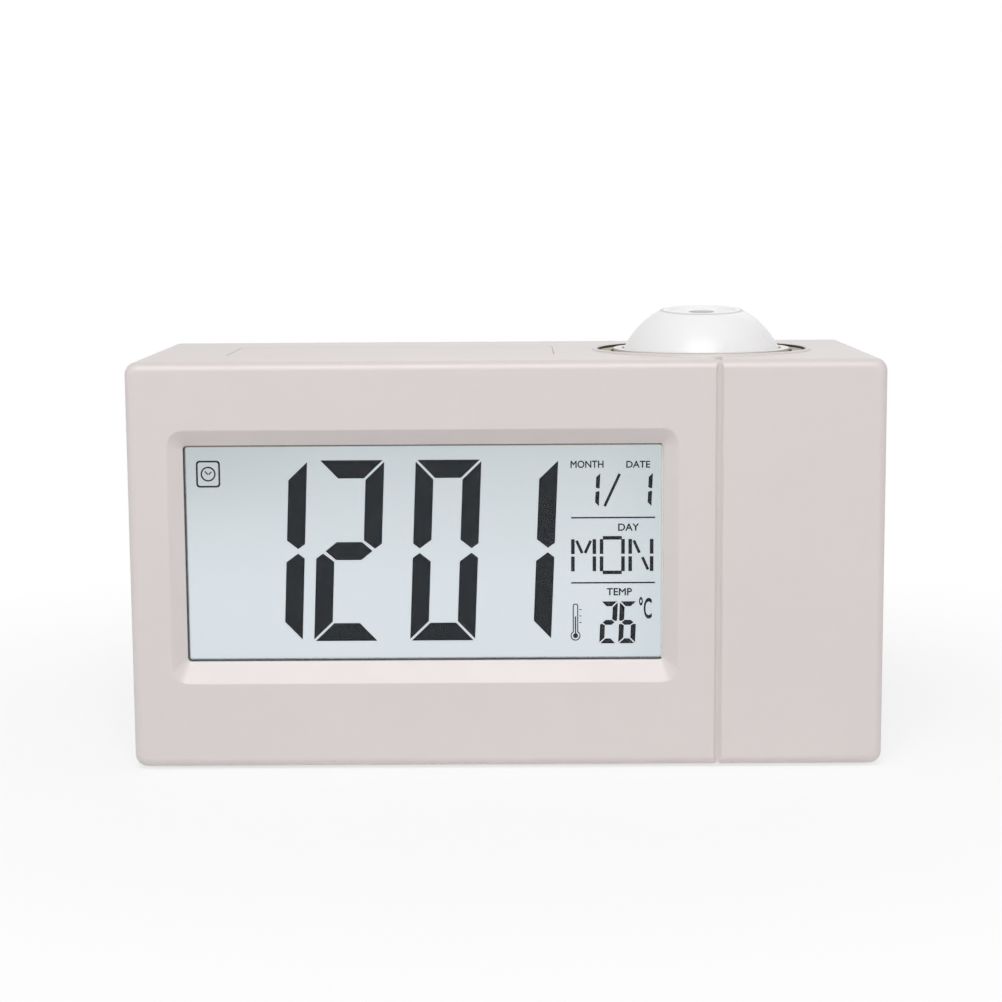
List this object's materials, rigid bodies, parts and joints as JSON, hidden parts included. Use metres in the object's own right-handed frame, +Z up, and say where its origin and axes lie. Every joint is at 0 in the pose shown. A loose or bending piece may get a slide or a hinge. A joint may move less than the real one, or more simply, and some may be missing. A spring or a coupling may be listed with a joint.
{
  "type": "projection alarm clock",
  "caption": "White desk alarm clock with a bevelled display window, a round tilting projector head in a recess on top, a wide snooze bar, rear buttons and a battery bay.",
  "frame": {"origin": "middle of the base, on the surface that the feet stand on", "axes": "+X to the right along the width seen from the front, +Y from the display to the back, +Z up"},
  "size_m": [0.15, 0.061, 0.0908],
  "materials": {
    "case_plastic": "satin moulded plastic",
    "snooze_plastic": "satin moulded plastic",
    "button_plastic": "satin",
    "knob_plastic": "satin",
    "ball_plastic": "smooth white",
    "black_plastic": "moulded",
    "frame_plastic": "moulded",
    "header_plastic": "moulded",
    "lens_glass": "clear",
    "slide_glass": "dark",
    "window_clear": "clear",
    "polariser_film": "satin film",
    "display_glass": "clear",
    "display_back": "pale grey-green display ground",
    "segment_ink": "dark display character",
    "light_guide": "clear acrylic",
    "reflector": "white foil",
    "contact_rubber": "conductive rubber",
    "lamp_resin": "clear resin",
    "board": "solder mask",
    "chip_resin": "cured resin",
    "can_metal": "drawn can",
    "screw_steel": "zinc plated",
    "wire_cover": "wire sleeve",
    "felt": "felt",
    "cell_sleeve": "printed sleeve",
    "contact_metal": "nickel plated",
    "foot_rubber": "soft rubber"
  },
  "bodies": {
    "case": {"back_cover": "case_plastic", "backlight_leds": "lamp_resin", "ball_cradle": "case_plastic", "battery_cells": "cell_sleeve", "board_screws": "screw_steel", "buzzer": "black_plastic", "capacitors": "can_metal", "case_screws": "screw_steel", "contact_plates": "contact_metal", "contact_springs": "contact_metal", "cradle_screws": "screw_steel", "crystal": "can_metal", "driver_chip": "chip_resin", "frame_screws": "screw_steel", "housing": "case_plastic", "key_board": "board", "key_board_screws": "screw_steel", "key_switches": "black_plastic", "lcd_frame": "frame_plastic", "lcd_front_glass": "display_glass", "lcd_front_polariser": "polariser_film", "lcd_rear_glass": "display_back", "lcd_rear_polariser": "display_back", "lcd_segments": "segment_ink", "light_guide": "light_guide", "main_board": "board", "pivot_washers": "felt", "power_socket": "black_plastic", "power_wires": "wire_cover", "projector_switch_body": "black_plastic", "projector_wires": "wire_cover", "recess_ring": "case_plastic", "reflector_sheet": "reflector", "ribbon_cable": "wire_cover", "rubber_feet": "foot_rubber", "snooze_switch": "black_plastic", "temperature_sensor": "chip_resin", "window_lens": "window_clear", "wire_sockets": "header_plastic", "zebra_strip": "contact_rubber"},
    "projector_head": {"ball_upper_shell": "ball_plastic", "ball_lower_shell": "ball_plastic", "lens_barrel": "black_plastic", "projector_lens": "lens_glass", "projector_slide": "slide_glass", "condenser_lens": "lens_glass", "lamp_housing": "black_plastic", "projector_lamp": "lamp_resin", "lamp_board": "board", "lamp_board_screws": "screw_steel", "lamp_leads": "wire_cover"},
    "snooze_bar": {"snooze_bar": "snooze_plastic"},
    "projector_switch_knob": {"projector_switch_knob": "knob_plastic"},
    "battery_door": {"battery_door": "case_plastic"},
    "mode_button": {"mode_button": "button_plastic"},
    "set_button": {"set_button": "button_plastic"},
    "up_button": {"up_button": "button_plastic"},
    "down_button": {"down_button": "button_plastic"},
    "alarm_button": {"alarm_button": "button_plastic"},
    "light_button": {"light_button": "button_plastic"}
  },
  "joints": [
    {"name": "head_tilt", "type": "hinge", "parent": "case", "child": "projector_head", "pos_m": [0.0408, -0.0005, 0.0744], "axis": [1, 0, 0], "range_deg": [-65, 55]},
    {"name": "snooze_press", "type": "slide", "parent": "case", "child": "snooze_bar", "axis": [0, 0, -1], "range_m": [0, 0.0008], "stiffness_N_per_m": 1200, "springref_m": -0.0004},
    {"name": "mode_press", "type": "slide", "parent": "case", "child": "mode_button", "axis": [0, -1, 0], "range_m": [0, 0.0005], "stiffness_N_per_m": 1200, "springref_m": -0.0003},
    {"name": "set_press", "type": "slide", "parent": "case", "child": "set_button", "axis": [0, -1, 0], "range_m": [0, 0.0005], "stiffness_N_per_m": 1200, "springref_m": -0.0003},
    {"name": "up_press", "type": "slide", "parent": "case", "child": "up_button", "axis": [0, -1, 0], "range_m": [0, 0.0005], "stiffness_N_per_m": 1200, "springref_m": -0.0003},
    {"name": "down_press", "type": "slide", "parent": "case", "child": "down_button", "axis": [0, -1, 0], "range_m": [0, 0.0005], "stiffness_N_per_m": 1200, "springref_m": -0.0003},
    {"name": "alarm_press", "type": "slide", "parent": "case", "child": "alarm_button", "axis": [0, -1, 0], "range_m": [0, 0.0005], "stiffness_N_per_m": 1200, "springref_m": -0.0003},
    {"name": "light_press", "type": "slide", "parent": "case", "child": "light_button", "axis": [0, -1, 0], "range_m": [0, 0.0005], "stiffness_N_per_m": 1200, "springref_m": -0.0003},
    {"name": "projector_switch_slide", "type": "slide", "parent": "case", "child": "projector_switch_knob", "axis": [1, 0, 0], "range_m": [0, 0.004]},
    {"name": "battery_door_hinge", "type": "hinge", "parent": "case", "child": "battery_door", "pos_m": [-0.035, 0.0305, 0.008], "axis": [-1, 0, 0], "range_deg": [0, 60]}
  ]
}
